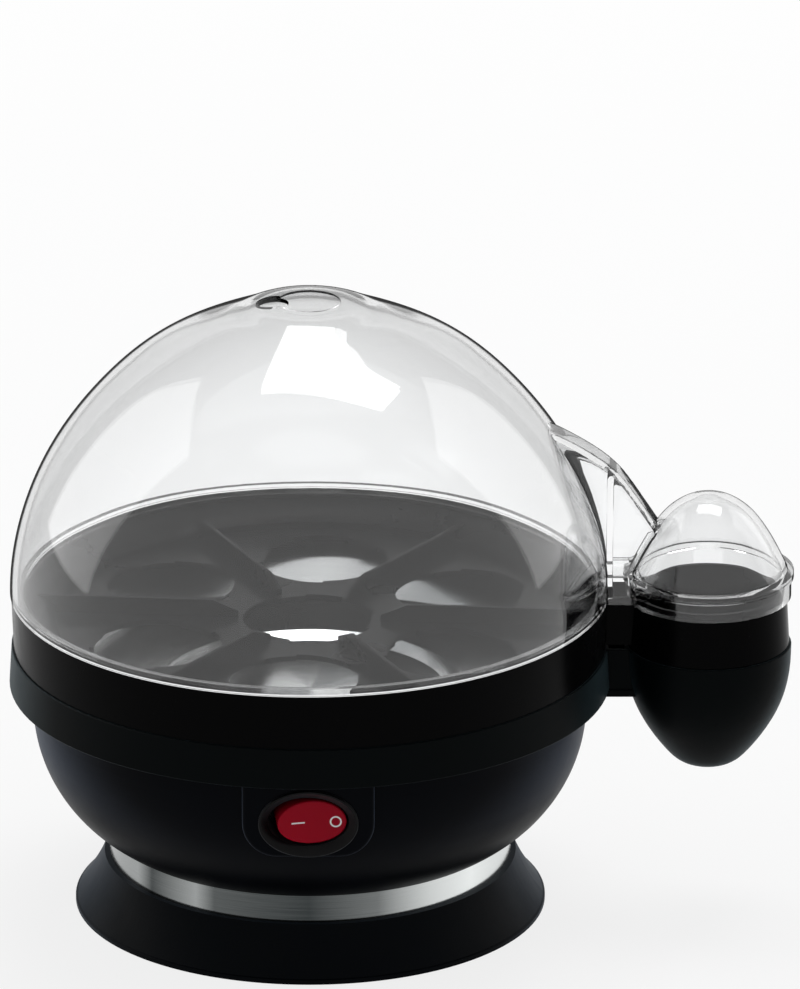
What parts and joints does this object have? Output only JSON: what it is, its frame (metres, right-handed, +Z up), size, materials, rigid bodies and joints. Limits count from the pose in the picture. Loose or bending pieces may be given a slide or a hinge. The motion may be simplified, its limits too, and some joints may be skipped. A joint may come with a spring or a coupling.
{
  "type": "electric egg cooker",
  "caption": "Electric egg cooker: black bowl on a flared foot, notched egg tray, side cup, clear domed lid and a red rocker switch.",
  "frame": {"origin": "on the bowl's vertical axis, at the level of the table that the foot stands on", "axes": "+Z up, +X towards the side cup, -Y towards the switch on the front"},
  "size_m": [0.2234, 0.1714, 0.1812],
  "materials": {
    "bowl_black": "satin, blue-black",
    "collar_black": "satin, grey-green black",
    "tray_black": "glossy black",
    "foot_black": "fine-textured black",
    "clear_plastic": "clear, glossy moulding",
    "brushed_steel": "brushed round its axis",
    "band_steel": "brushed along the band",
    "black_rubber": "matt",
    "seal_silicone": "matt grey",
    "switch_black": "fine-textured black",
    "switch_red": "glossy, translucent red",
    "zinc_steel": "zinc plated",
    "plain_aluminium": "die cast",
    "heater_sheath": "drawn",
    "ceramic_white": "unglazed"
  },
  "bodies": {
    "base": {"foot_skirt": "foot_black", "bottom_cover": "foot_black", "rubber_feet": "black_rubber", "cover_screws": "zinc_steel", "housing_screws": "zinc_steel", "cord_bush": "black_rubber", "trim_band": "band_steel", "bowl_housing": "bowl_black", "top_collar": "collar_black", "heating_pan": "brushed_steel", "pan_seal": "seal_silicone", "heater_plate": "plain_aluminium", "heater_element": "heater_sheath", "heater_blades": "zinc_steel", "pan_bridge": "zinc_steel", "bridge_screws": "zinc_steel", "centre_stud": "zinc_steel", "stud_nuts": "zinc_steel", "sensor_clip": "zinc_steel", "thermostat": "ceramic_white", "thermal_fuse": "zinc_steel", "terminal_block": "ceramic_white", "switch_body": "switch_black", "switch_base": "switch_black", "switch_blades": "zinc_steel"},
    "rocker_body": {"rocker": "switch_red"},
    "tray_body": {"egg_tray": "tray_black"},
    "lid_body": {"lid": "clear_plastic"}
  },
  "joints": [
    {"name": "tray_lift", "type": "slide", "parent": "base", "child": "tray_body", "axis": [0, 0, 1], "range_m": [0, 0.034]},
    {"name": "lid_lift", "type": "slide", "parent": "tray_body", "child": "lid_body", "axis": [0, 0, 1], "range_m": [0, 0.052]},
    {"name": "rocker_tilt", "type": "hinge", "parent": "base", "child": "rocker_body", "pos_m": [0, -0.072, 0.0542], "axis": [0, 0, 1], "range_deg": [-16, 0]}
  ]
}
